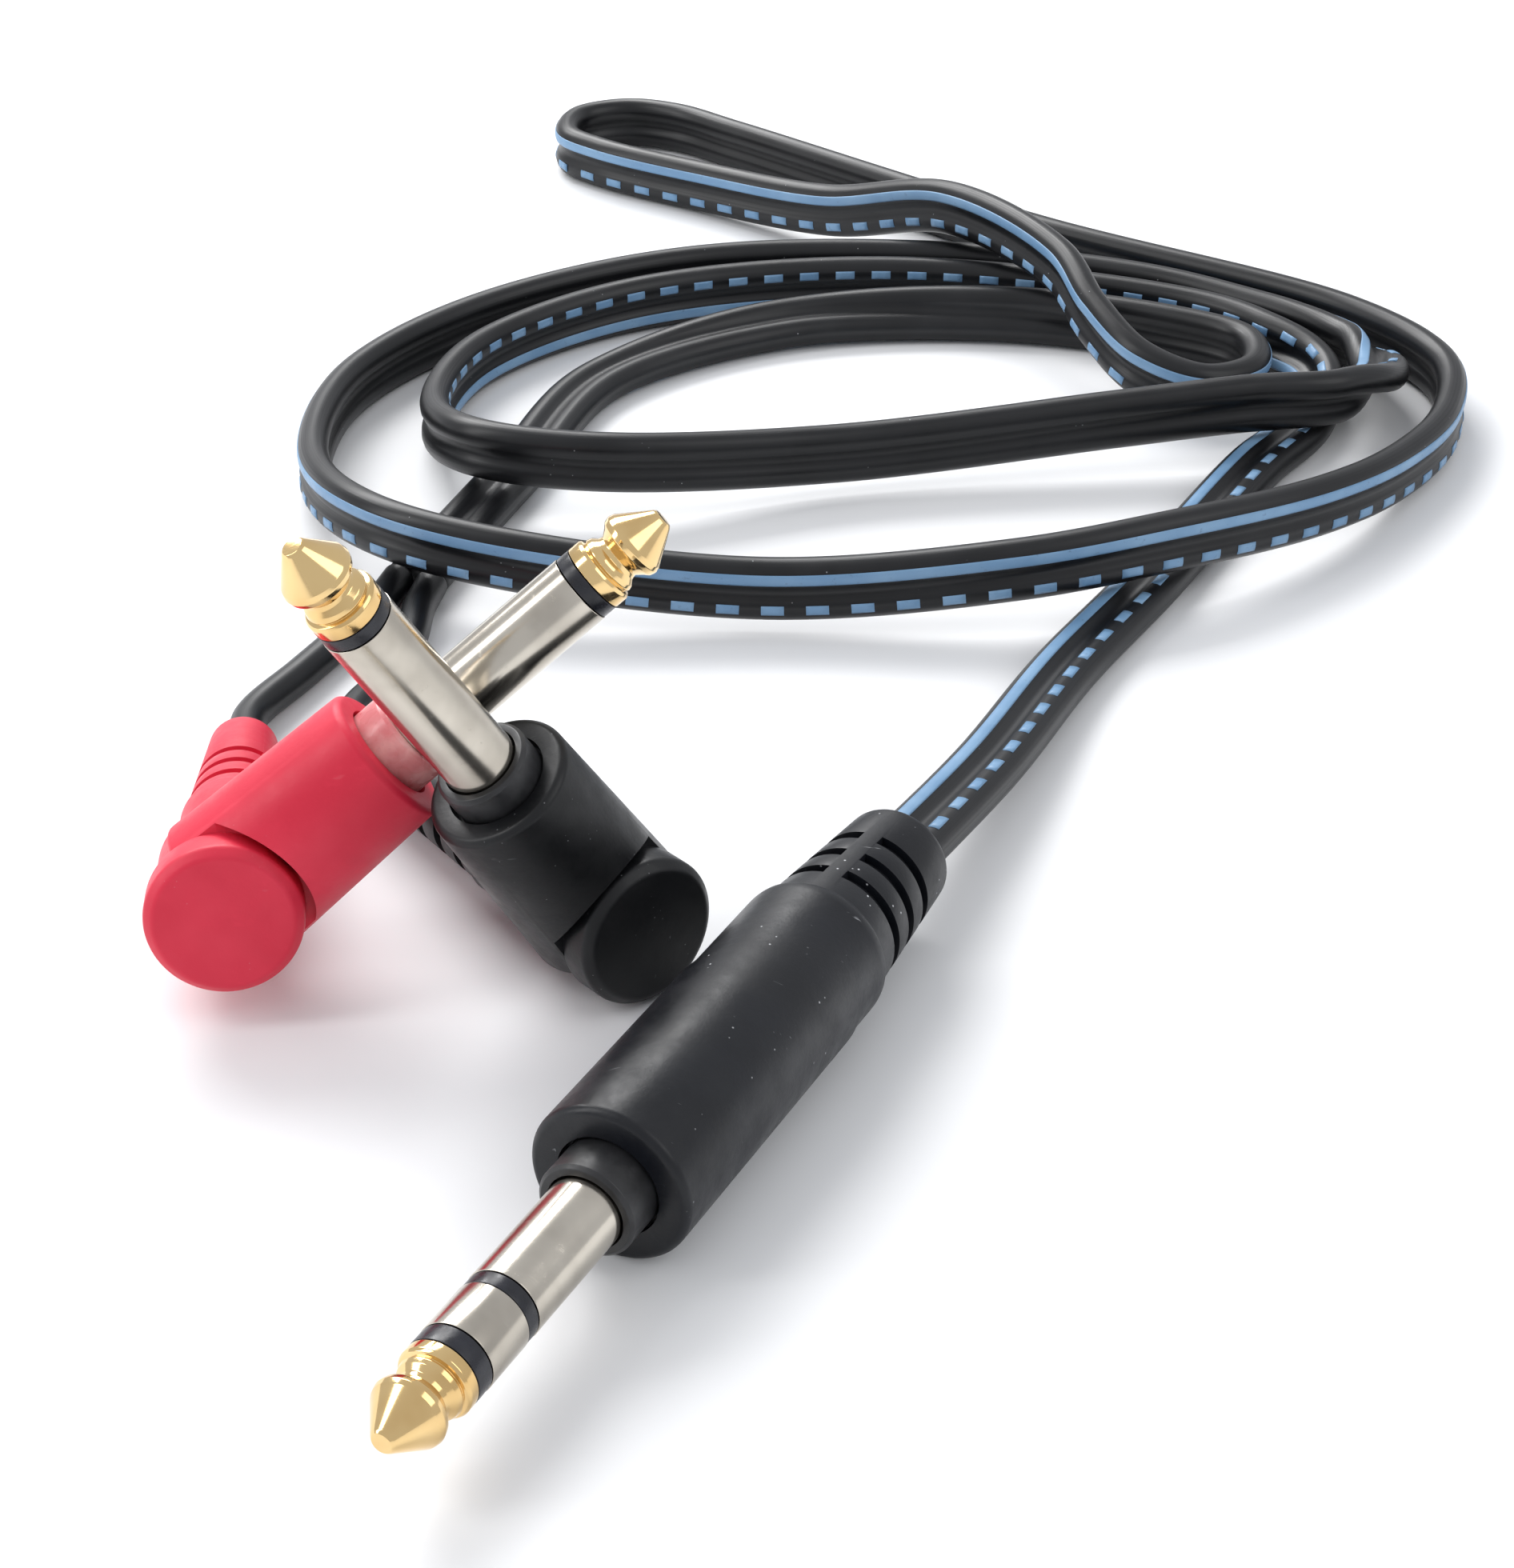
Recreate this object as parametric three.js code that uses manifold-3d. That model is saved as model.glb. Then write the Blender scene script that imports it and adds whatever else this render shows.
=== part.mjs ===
// Y instrument cable: a straight stereo phone plug, a flat twin lead, and two right-angle mono plugs.
// Millimetres, +Z up, the cable lies on the plane z = 0.
import * as THREE from 'three';
import { mergeVertices } from 'three/addons/utils/BufferGeometryUtils.js';
import Module from 'manifold-3d';

const wasm = await Module();
wasm.setup();

// ---- sizes shared by all three plugs -------------------------------------------------------
const SHAFT_R = 3.175; // quarter-inch phone plug
const SHAFT_LENGTH = 31;
const BAND_R = 3.12; // the plastic bands stand a hair below the metal
const BAND_GAP = 0.1; // parting line between a band and the metal beside it
const TUBE_GAP = 0.15; // running clearance between the nested tubes
const CLEAR = 0.3; // clearance between separately moulded pieces
const CUT_OVER = 1; // how far a cutter runs past the material
const SHAFT_SIDES = 18;
const BODY_SIDES = 24;
const LUG_THICK = 0.5;
const LUG_TAIL_HALF = 0.9; // half the width of a solder lug's tail
const FLANGE_THICK = 1.4;
const WASHER_THICK = 1;
const COLLAR_R = 4.2;
const MOLD_R = 5.4;
const MOLD_WALL = 0.6;
const MOLD_FRONT = 1.1; // depth of the moulding's shoulder behind the seating face
const SLOT_WIDTH = 1.25;
const SLOT_BRIDGE = 1.7; // web of material left between two slots of a row

// ---- straight stereo plug -------------------------------------------------------------------
const STEREO_BODY_R = 7.05;
const STEREO_WAIST_R = 6.85;
const STEREO_BODY_LENGTH = 36;
const STEREO_RELIEF_LENGTH = 15.8;
const STEREO_RELIEF_R = 6.2;
const STEREO_RELIEF_END_R = 5.0;
const STEREO_COLLAR = 3.44;
const STEREO_SLEEVE_END = 15.16;
const STEREO_RING_START = 16.55;
const STEREO_RING_END = 21.46;
const STEREO_TIP_START = 23.26;
const STEREO_SLOT_FIRST = 2.9; // first slot row behind the body's shoulder
const STEREO_SLOT_PITCH = 3.4;
const STEREO_SLOT_DEPTH = 0.9;
const STEREO_ROD_R = 0.8;
const STEREO_TUBE_WALL = 0.4;
const STEREO_MOLD_DEPTH = 13;
const RIDGE_BACK = 25.5; // where the slanted ridge crosses the axis
const RIDGE_SLANT = 30; // degrees off square

// ---- right-angle mono plugs -----------------------------------------------------------------
const ANGLE_COLLAR = 2.6;
const ANGLE_TIP_START = 23.06;
const ANGLE_SLEEVE_END = 21.75;
const ANGLE_HEAD_R = 6.5; // the upright head at its seating face
const ANGLE_HEAD_FOOT_R = 7.2; // the head's draft widens it towards the barrel
const ANGLE_DEPTH = 18.9; // seating face to the barrel's axis
const ANGLE_FOOT = 0.6; // how far the head runs past the barrel's axis
const ANGLE_POCKET_R = 7.7; // the head is cut back to this round the cap
const ANGLE_POCKET_FLOOR = 3.4; // shaft axis to the floor of that cut
const ANGLE_BARREL_R = 6.2;
const ANGLE_CAP_OUT = 7.06; // shaft axis to the cap's face
const ANGLE_CAP_R = 6.81;
const ANGLE_CAP_THICK = 4.2;
const ANGLE_CAP_CHAMFER = 0.8;
const ANGLE_TOTAL = 41; // cap face to the end of the strain relief
const ANGLE_NECK_R = 4.9;
const ANGLE_NECK_BACK = 14;
const ANGLE_RELIEF_R = 4.6;
const ANGLE_RELIEF_END_R = 3.3;
const ANGLE_SLOT_FIRST = 2.6;
const ANGLE_SLOT_PITCH = 3.4;
const ANGLE_SLOT_DEPTH = 0.9;
const ANGLE_ROD_R = 1.1;
const ANGLE_INSULATOR_R = 2.15;
const ANGLE_MOLD_DEPTH = 11;
const ANGLE_SPREAD = 4.5; // where the neck has grown to the barrel's full size
const WIRE_ROOM_R = 3.8;
const WIRE_ROOM_END = 3.6; // how far the wire room runs towards the cap

// ---- cable ----------------------------------------------------------------------------------
const LEAD_D = 3.5;
const TWIN_WIDTH = 7;
const TWIN_SIDES = 12;
const LEAD_SIDES = 8;
const WIRE_SIDES = 6;
const WIRE_STEPS = 8;
const STEPS_PER_POINT = 2;
const CORE_R = 0.75;
const CONDUCTOR_R = 0.4;
const SHIELD_R = 0.5;

// ---- where the plugs lie ----------------------------------------------------------------------
const STEREO_FACE = [6.54, -21.69, 7.055];
const STEREO_TIPWARD = [-0.4647, -0.8855, 0];
const BLACK_FACE = [-3.71, 11.65, 22.8];
const BLACK_TIPWARD = [-0.439, -0.285, 0.852];
const BLACK_CAPWARD = [0.625, -0.778, 0.062];
const RED_FACE = [-13.45, 19.45, 20.75];
const RED_TIPWARD = [0.76, 0.196, 0.62];
const RED_CAPWARD = [0.095, -0.98, 0.157];

// Route of the flat twin from the stereo plug to the split: x, y, z, and the turn of the wide
// side about the lead's own line, in degrees: 0 lies flat, 90 and -90 stand on edge.
const TWIN_ROUTE = [
  [30.62, 24.17, 7.0, 0],
  [39.95, 43.95, 4.3, 0],
  [49.35, 65.95, 2.1, 0],
  [59.55, 83.95, 1.8, 0],
  [74.95, 112.45, 1.85, 0],
  [81.95, 122.65, 2.1, -5],
  [85.25, 134.35, 3.2, -45],
  [79.85, 145.45, 3.7, -90],
  [69.55, 153.35, 3.6, -90],
  [34.95, 162.25, 3.6, -90],
  [3.45, 155.85, 3.6, -90],
  [-15.25, 139.45, 3.6, -90],
  [-19.45, 120.45, 4.6, -90],
  [-13.65, 106.05, 7.6, -90],
  [-0.05, 102.85, 7.3, -90],
  [26.95, 109.25, 5.2, -90],
  [59.65, 115.05, 6.8, -90],
  [74.15, 117.35, 7.6, -90],
  [85.25, 119.85, 7.4, -80],
  [91.85, 129.65, 5.8, -10],
  [90.35, 141.45, 4.2, 60],
  [80.95, 150.95, 3.6, 90],
  [66.95, 160.25, 3.6, 90],
  [40.95, 167.45, 3.6, 90],
  [9.95, 165.85, 3.6, 90],
  [-15.55, 151.45, 3.6, 90],
  [-30.05, 131.45, 3.6, 90],
  [-31.65, 105.45, 4.9, 90],
  [-23.05, 87.45, 7.6, 90],
  [-9.05, 80.25, 7.2, 90],
  [18.95, 77.65, 5.0, 90],
  [44.95, 78.05, 7.0, 90],
  [60.95, 82.85, 7.7, 90],
  [78.95, 94.45, 6.0, 90],
  [90.15, 106.45, 4.4, 90],
  [97.95, 119.85, 3.6, 90],
  [100.25, 134.45, 3.6, 90],
  [91.95, 149.45, 3.6, 90],
  [55.35, 176.25, 3.6, 90],
  [15.15, 212.05, 3.6, 90],
  [6.25, 219.35, 3.65, 90],
  [-0.95, 221.35, 3.65, 90],
  [-7.55, 218.05, 3.65, 90],
  [-8.65, 210.75, 3.65, 90],
  [-3.75, 205.05, 3.65, 90],
  [10.65, 195.35, 3.8, 90],
  [27.65, 182.15, 5.6, 90],
  [42.65, 168.55, 11.3, 90],
  [55.15, 149.65, 11.2, 90],
  [58.65, 139.15, 8.6, 90],
  [63.65, 130.75, 5.9, 90],
  [70.65, 127.95, 4.2, 90],
  [77.15, 132.35, 3.6, 92],
  [77.55, 140.35, 3.6, 94],
  [70.65, 145.75, 3.6, 98],
  [47.95, 152.85, 3.4, 125],
  [20.95, 151.05, 2.8, 155],
  [-0.55, 136.45, 1.95, 178],
  [-9.65, 111.45, 1.8, 180],
  [-18.55, 85.45, 1.8, 180],
];
const RED_LEAD_ROUTE = [
  [-20.5, 85.8, 1.8],
  [-22.05, 80.05, 1.8],
  [-24.65, 73.45, 1.8],
  [-28.25, 65.45, 1.85],
  [-32.0, 56.3, 2.3],
  [-31.65, 49.26, 3.15],
];
const BLACK_LEAD_ROUTE = [
  [-16.85, 84.35, 1.8],
  [-17.65, 79.45, 1.8],
  [-17.95, 72.45, 1.8],
  [-19.55, 63.95, 1.9],
  [-21.75, 55.45, 3.0],
  [-20.4, 48.1, 4.2],
  [-16.82, 43.68, 4.58],
];

// ---- materials --------------------------------------------------------------------------------
function material(color, metalness, roughness) {
  return new THREE.MeshStandardMaterial({ color, metalness, roughness });
}

const gold = material(0xe8b955, 1, 0.2);
const nickel = material(0xc9c3b8, 1, 0.22);
const insulator = material(0x14161f, 0, 0.4);
const blackPvc = material(0x17181b, 0, 0.55);
const redPvc = material(0xc8142c, 0, 0.5);
const clearMold = material(0x2b2b2e, 0, 0.35);
const pinkMold = material(0xb98a8c, 0, 0.3);
const copper = material(0xc77b4a, 1, 0.35);
const coreWhite = material(0xe6e2d8, 0, 0.5);
const cordPvc = material(0x111317, 0, 0.5);

// ---- helpers ------------------------------------------------------------------------------------
function toSolid(geometry) {
  const bare = new THREE.BufferGeometry();
  bare.setAttribute('position', geometry.getAttribute('position'));
  bare.setIndex(geometry.getIndex());
  const merged = mergeVertices(bare, 1e-5);
  const vertProperties = new Float32Array(merged.getAttribute('position').array);
  const triVerts = new Uint32Array(merged.getIndex().array);
  return new wasm.Manifold(new wasm.Mesh({ numProp: 3, vertProperties, triVerts }));
}

function toGeometry(solid) {
  const mesh = solid.getMesh();
  const geometry = new THREE.BufferGeometry();
  geometry.setAttribute('position', new THREE.BufferAttribute(mesh.vertProperties, 3));
  geometry.setIndex(new THREE.BufferAttribute(mesh.triVerts, 1));
  geometry.computeVertexNormals();
  return geometry;
}

// Turns an outline of [radius, y] pairs, listed counter-clockwise, about the Y axis.
function turned(outline, sides) {
  return new THREE.LatheGeometry(outline.map(([r, y]) => new THREE.Vector2(r, y)), sides);
}

function turnedSolid(outline, sides) {
  const geometry = turned(outline, sides);
  return toSolid(geometry);
}

function ringOutline(inner, outer, low, high) {
  return [[inner, low], [outer, low], [outer, high], [inner, high], [inner, low]];
}

function diskOutline(radius, low, high) {
  return [[0, low], [radius, low], [radius, high], [0, high]];
}

function block(width, height, depth, matrix) {
  const geometry = new THREE.BoxGeometry(width, height, depth);
  geometry.applyMatrix4(matrix);
  return toSolid(geometry);
}

function roundShape(radius, sides) {
  const shape = new THREE.Shape();
  for (let i = 0; i < sides; i += 1) {
    const angle = (i / sides) * Math.PI * 2;
    const x = Math.cos(angle) * radius;
    const y = Math.sin(angle) * radius;
    if (i === 0) shape.moveTo(x, y);
    else shape.lineTo(x, y);
  }
  shape.closePath();
  return shape;
}

// A short bare wire through the given points.
function wire(points, radius) {
  const curve = new THREE.CatmullRomCurve3(points.map((p) => new THREE.Vector3(...p)));
  return new THREE.ExtrudeGeometry(roundShape(radius, WIRE_SIDES), { steps: WIRE_STEPS, extrudePath: curve });
}

// A route whose wide side is turned by a set angle at each point.
class FlatRoute extends THREE.CatmullRomCurve3 {
  constructor(rows) {
    super(rows.map(([x, y, z]) => new THREE.Vector3(x, y, z)));
    this.turns = rows.map((row) => (row[3] === undefined ? 0 : row[3]));
  }

  getSpacedPoints(steps) {
    return this.getPoints(steps);
  }

  computeFrenetFrames(steps) {
    const tangents = [];
    const normals = [];
    const binormals = [];
    const up = new THREE.Vector3(0, 0, 1);
    for (let i = 0; i <= steps; i += 1) {
      const t = i / steps;
      const tangent = this.getTangent(t);
      const side = new THREE.Vector3().crossVectors(up, tangent).normalize();
      const rise = new THREE.Vector3().crossVectors(tangent, side);
      const turn = this.turnAt(t);
      const wide = side.clone().multiplyScalar(Math.cos(turn)).addScaledVector(rise, Math.sin(turn));
      const thin = new THREE.Vector3().crossVectors(tangent, wide);
      tangents.push(tangent);
      normals.push(wide);
      binormals.push(thin);
    }
    return { tangents, normals, binormals };
  }

  turnAt(t) {
    const place = t * (this.turns.length - 1);
    const index = Math.min(Math.floor(place), this.turns.length - 2);
    const part = THREE.MathUtils.smoothstep(place - index, 0, 1);
    return THREE.MathUtils.degToRad(THREE.MathUtils.lerp(this.turns[index], this.turns[index + 1], part));
  }
}

function twinShape() {
  const shape = new THREE.Shape();
  const half = LEAD_D / 2;
  const offset = TWIN_WIDTH / 2 - half;
  const perEnd = TWIN_SIDES / 2;
  for (let i = 0; i < TWIN_SIDES; i += 1) {
    const end = i < perEnd ? 1 : -1;
    const step = (i % perEnd) / (perEnd - 1);
    const angle = -Math.PI / 2 + step * Math.PI + (end > 0 ? 0 : Math.PI);
    const x = end * offset + Math.cos(angle) * half;
    const y = Math.sin(angle) * half;
    if (i === 0) shape.moveTo(x, y);
    else shape.lineTo(x, y);
  }
  shape.closePath();
  return shape;
}

function cord(rows, shape) {
  const curve = new FlatRoute(rows);
  const steps = (rows.length - 1) * STEPS_PER_POINT;
  return new THREE.ExtrudeGeometry(shape, { steps, extrudePath: curve });
}

// ---- turned metal and bands -----------------------------------------------------------------------
// Outline of a phone plug's tip from the rod's back end up to the point.
function tipOutline(rodRadius, rodBack, headBack) {
  const end = SHAFT_LENGTH;
  return [
    [0, rodBack],
    [rodRadius, rodBack],
    [rodRadius, headBack],
    [BAND_R, headBack],
    [BAND_R, end - 6.75],
    [2.95, end - 6.5],
    [2.6, end - 6.4],
    [2.75, end - 6.15],
    [2.62, end - 5.75],
    [2.2, end - 5.3],
    [2.1, end - 4.9],
    [2.55, end - 4.35],
    [2.95, end - 3.95],
    [3.08, end - 3.45],
    [2.95, end - 3.0],
    [1.05, end - 0.2],
    [0.85, end],
    [0, end],
  ];
}

// A plastic spacer: a band flush with the shaft, and a thin tube running back through the metal.
function spacerOutline(inner, outer, back, bandLow, bandHigh) {
  return [
    [inner, back],
    [outer, back],
    [outer, bandLow],
    [BAND_R, bandLow],
    [BAND_R, bandHigh],
    [inner, bandHigh],
    [inner, back],
  ];
}

function sleeveOutline(inner, end, flangeRadius, flangeFront) {
  return [
    [inner, flangeFront - FLANGE_THICK],
    [flangeRadius, flangeFront - FLANGE_THICK],
    [flangeRadius, flangeFront],
    [SHAFT_R, flangeFront],
    [SHAFT_R, end],
    [inner, end],
    [inner, flangeFront - FLANGE_THICK],
  ];
}

// A solder lug: a flat washer with a tail, its face square to the shaft. The tail points by angle.
function lug(holeRadius, outerRadius, tail, back, angle) {
  const half = LUG_TAIL_HALF;
  const shape = new THREE.Shape();
  const root = Math.asin(half / outerRadius);
  shape.absarc(0, 0, outerRadius, root, Math.PI * 2 - root, false);
  shape.lineTo(tail, -half);
  shape.lineTo(tail, half);
  shape.closePath();
  const hole = new THREE.Path();
  hole.absarc(0, 0, holeRadius, 0, Math.PI * 2, true);
  shape.holes.push(hole);
  const options = { depth: LUG_THICK, bevelEnabled: false, curveSegments: 8 };
  const geometry = new THREE.ExtrudeGeometry(shape, options);
  geometry.rotateX(-Math.PI / 2);
  geometry.rotateY(angle);
  geometry.translate(0, back, 0);
  return geometry;
}

// Inner mould: a cup over the rear of the plug, with a collar that shows round the shaft.
function innerMold(collar, depth) {
  const bore = MOLD_R - MOLD_WALL;
  return turned([
    [bore, -depth],
    [MOLD_R, -depth],
    [MOLD_R, -MOLD_FRONT - CLEAR],
    [COLLAR_R, -MOLD_FRONT - CLEAR],
    [COLLAR_R, collar - 0.3],
    [COLLAR_R - 0.3, collar],
    [SHAFT_R + TUBE_GAP, collar],
    [SHAFT_R + TUBE_GAP, -MOLD_FRONT - CLEAR - MOLD_WALL],
    [bore, -MOLD_FRONT - CLEAR - MOLD_WALL],
    [bore, -depth],
  ], SHAFT_SIDES);
}

// Room inside a body for the inner mould and its collar.
function moldRoom(depth) {
  return turnedSolid([
    [0, -depth],
    [MOLD_R + CLEAR, -depth],
    [MOLD_R + CLEAR, -MOLD_FRONT],
    [COLLAR_R + CLEAR, -MOLD_FRONT],
    [COLLAR_R + CLEAR, CUT_OVER],
    [0, CUT_OVER],
  ], BODY_SIDES);
}

// Rows of slots round a strain relief on the Y axis, with a web left at the front and the back.
function slotRows(first, pitch, outerAt, depth) {
  let cutter = null;
  for (let row = 0; row < 3; row += 1) {
    const y = first - row * pitch;
    const outer = outerAt(y);
    const ring = turnedSolid(
      ringOutline(outer - depth, outer + CUT_OVER, y - SLOT_WIDTH / 2, y + SLOT_WIDTH / 2),
      BODY_SIDES,
    );
    cutter = cutter === null ? ring : cutter.add(ring);
  }
  return cutter;
}

// ---- straight stereo plug ---------------------------------------------------------------------------
const FLANGE_FRONT = -MOLD_FRONT - CLEAR - MOLD_WALL - TUBE_GAP;
const LUG_FRONT = FLANGE_FRONT - FLANGE_THICK - TUBE_GAP;
const WASHER_FRONT = LUG_FRONT - LUG_THICK - TUBE_GAP;
const WASHER_BACK = WASHER_FRONT - WASHER_THICK;
const FLANGE_R = MOLD_R - MOLD_WALL - CLEAR;
const WASHER_R = FLANGE_R - 1.4; // leaves the sleeve lug's tail free for its wire
const WIRE_REACH = FLANGE_R - 0.6; // how far off the shaft's axis the shield wires are soldered
const LUG_BACK = LUG_FRONT - LUG_THICK;
const RING_LUG_BACK = WASHER_BACK - TUBE_GAP - LUG_THICK;
const STEREO_TIP_LUG_BACK = RING_LUG_BACK - 3 * TUBE_GAP - LUG_THICK;
const ANGLE_TIP_LUG_BACK = WASHER_BACK - TUBE_GAP - LUG_THICK;
const ROD_PROUD = 1; // the riveted end of the tip's rod stands behind its lug

function stereoBody() {
  const shoulder = -STEREO_BODY_LENGTH;
  const end = shoulder - STEREO_RELIEF_LENGTH;
  const waist = turnedSolid([
    [0, end],
    [STEREO_RELIEF_END_R - 0.5, end],
    [STEREO_RELIEF_END_R, end + 0.6],
    [STEREO_RELIEF_R, shoulder + 0.4],
    [STEREO_WAIST_R - 0.15, shoulder + 0.8],
    [STEREO_WAIST_R, shoulder + 1.6],
    [STEREO_WAIST_R, -1],
    [0, -1],
  ], BODY_SIDES);
  const front = turnedSolid([
    [0, shoulder + 2],
    [STEREO_BODY_R, shoulder + 2],
    [STEREO_BODY_R, -0.35],
    [STEREO_BODY_R - 0.35, 0],
    [0, 0],
  ], BODY_SIDES);
  const span = 4 * STEREO_BODY_R;
  const behind = block(
    span,
    STEREO_BODY_LENGTH,
    span,
    new THREE.Matrix4()
      .makeTranslation(0, -RIDGE_BACK, 0)
      .multiply(new THREE.Matrix4().makeRotationZ(THREE.MathUtils.degToRad(RIDGE_SLANT)))
      .multiply(new THREE.Matrix4().makeTranslation(0, -STEREO_BODY_LENGTH / 2, 0)),
  );
  const room = moldRoom(STEREO_MOLD_DEPTH + CLEAR);
  const boreLength = -end - STEREO_MOLD_DEPTH + CUT_OVER;
  const wideBore = block(
    TWIN_WIDTH + 2 * CLEAR,
    boreLength,
    LEAD_D + 2 * CLEAR,
    new THREE.Matrix4().makeTranslation(0, end - CUT_OVER + boreLength / 2, 0),
  );
  const slope = (STEREO_RELIEF_R - STEREO_RELIEF_END_R) / STEREO_RELIEF_LENGTH;
  const radiusAt = (y) => STEREO_RELIEF_R + (y - shoulder) * slope;
  const rows = slotRows(shoulder - STEREO_SLOT_FIRST, STEREO_SLOT_PITCH, radiusAt, STEREO_SLOT_DEPTH);
  const web = block(SLOT_BRIDGE, span * 4, span, new THREE.Matrix4());
  return toGeometry(
    waist.add(front.subtract(behind)).subtract(room).subtract(wideBore).subtract(rows.subtract(web)),
  );
}



function stereoPieces() {
  const rodBack = STEREO_TIP_LUG_BACK - ROD_PROUD;
  const insulatorIn = STEREO_ROD_R + TUBE_GAP;
  const insulatorOut = insulatorIn + STEREO_TUBE_WALL;
  const ringIn = insulatorOut + TUBE_GAP;
  const ringOut = ringIn + STEREO_TUBE_WALL;
  const ringInsulatorIn = ringOut + TUBE_GAP;
  const ringInsulatorOut = ringInsulatorIn + STEREO_TUBE_WALL;
  const sleeveIn = ringInsulatorOut + TUBE_GAP;
  const ringTube = [
    [ringIn, RING_LUG_BACK - TUBE_GAP],
    [ringOut, RING_LUG_BACK - TUBE_GAP],
    [ringOut, STEREO_RING_START + BAND_GAP],
    [SHAFT_R, STEREO_RING_START + BAND_GAP],
    [SHAFT_R, STEREO_RING_END],
    [ringIn, STEREO_RING_END],
    [ringIn, RING_LUG_BACK - TUBE_GAP],
  ];
  return [
    ['stereo_tip', turned(tipOutline(STEREO_ROD_R, rodBack, STEREO_TIP_START + BAND_GAP), SHAFT_SIDES), gold],
    ['stereo_tip_insulator', turned(spacerOutline(
      insulatorIn,
      insulatorOut,
      STEREO_TIP_LUG_BACK + LUG_THICK + TUBE_GAP,
      STEREO_RING_END + BAND_GAP,
      STEREO_TIP_START,
    ), SHAFT_SIDES), insulator],
    ['stereo_ring', turned(ringTube, SHAFT_SIDES), nickel],
    ['stereo_ring_insulator', turned(spacerOutline(
      ringInsulatorIn,
      ringInsulatorOut,
      LUG_FRONT,
      STEREO_SLEEVE_END + BAND_GAP,
      STEREO_RING_START,
    ), SHAFT_SIDES), insulator],
    ['stereo_sleeve', turned(sleeveOutline(sleeveIn, STEREO_SLEEVE_END, FLANGE_R, FLANGE_FRONT), SHAFT_SIDES), nickel],
    ['stereo_sleeve_lug', lug(sleeveIn, FLANGE_R - 1, FLANGE_R, LUG_BACK, Math.PI / 2), nickel],
    ['stereo_rear_insulator', turned(
      ringOutline(ringInsulatorIn, WASHER_R, WASHER_BACK, WASHER_FRONT),
      SHAFT_SIDES,
    ), insulator],
    ['stereo_ring_lug', lug(ringInsulatorIn, WASHER_R, FLANGE_R, RING_LUG_BACK, 0), nickel],
    ['stereo_tip_lug', lug(insulatorIn, FLANGE_R - 2, FLANGE_R - 0.4, STEREO_TIP_LUG_BACK, Math.PI), gold],
    ['stereo_inner_mold', innerMold(STEREO_COLLAR, STEREO_MOLD_DEPTH), clearMold],
    ['stereo_body', stereoBody(), blackPvc],
  ];
}

// ---- right-angle mono plug ----------------------------------------------------------------------------


function barrelOutline() {
  const cap = ANGLE_CAP_OUT;
  const end = cap - ANGLE_TOTAL;
  const neck = -ANGLE_NECK_BACK;
  return [
    [0, end],
    [ANGLE_RELIEF_END_R - 0.4, end],
    [ANGLE_RELIEF_END_R, end + 0.5],
    [ANGLE_RELIEF_R, neck - 0.4],
    [ANGLE_NECK_R, neck],
    [ANGLE_NECK_R, -ANGLE_BARREL_R],
    [ANGLE_BARREL_R, -ANGLE_SPREAD],
    [ANGLE_BARREL_R, cap - ANGLE_CAP_THICK],
    [ANGLE_CAP_R, cap - ANGLE_CAP_THICK + 0.4],
    [ANGLE_CAP_R, cap - ANGLE_CAP_CHAMFER],
    [ANGLE_CAP_R - ANGLE_CAP_CHAMFER, cap],
    [0, cap],
  ];
}



function angleBody() {
  const toBarrel = new THREE.Matrix4()
    .makeTranslation(0, -ANGLE_DEPTH, 0)
    .multiply(new THREE.Matrix4().makeRotationX(Math.PI / 2));
  const barrel = turned(barrelOutline(), BODY_SIDES);
  barrel.applyMatrix4(toBarrel);
  const foot = -ANGLE_DEPTH - ANGLE_FOOT;
  const head = turnedSolid([
    [0, foot],
    [ANGLE_HEAD_FOOT_R - 0.5, foot],
    [ANGLE_HEAD_FOOT_R, foot + 0.5],
    [ANGLE_HEAD_R, -0.35],
    [ANGLE_HEAD_R - 0.35, 0],
    [0, 0],
  ], BODY_SIDES);
  const pocket = turned(diskOutline(ANGLE_POCKET_R, ANGLE_POCKET_FLOOR, 2 * ANGLE_CAP_OUT), BODY_SIDES);
  pocket.applyMatrix4(toBarrel);
  const room = moldRoom(ANGLE_MOLD_DEPTH + CLEAR);
  const boreBack = ANGLE_CAP_OUT - ANGLE_TOTAL - CUT_OVER;
  const bore = turned(diskOutline(LEAD_D / 2 + CLEAR, boreBack, WIRE_ROOM_END), SHAFT_SIDES);
  bore.applyMatrix4(toBarrel);
  const drop = turnedSolid(diskOutline(WIRE_ROOM_R, -ANGLE_DEPTH, -ANGLE_MOLD_DEPTH), SHAFT_SIDES);
  const relief = -ANGLE_NECK_BACK;
  const slope = (ANGLE_RELIEF_R - ANGLE_RELIEF_END_R) / (ANGLE_TOTAL - ANGLE_CAP_OUT - ANGLE_NECK_BACK);
  const radiusAt = (y) => ANGLE_RELIEF_R + (y - relief) * slope;
  const rows = slotRows(relief - ANGLE_SLOT_FIRST, ANGLE_SLOT_PITCH, radiusAt, ANGLE_SLOT_DEPTH);
  const span = 4 * ANGLE_TOTAL;
  const cutter = toGeometry(rows.subtract(block(SLOT_BRIDGE, span, span, new THREE.Matrix4())));
  cutter.applyMatrix4(toBarrel);
  return toGeometry(
    head.subtract(toSolid(pocket)).add(toSolid(barrel)).subtract(room).subtract(toSolid(bore)).subtract(drop).subtract(toSolid(cutter)),
  );
}



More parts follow.
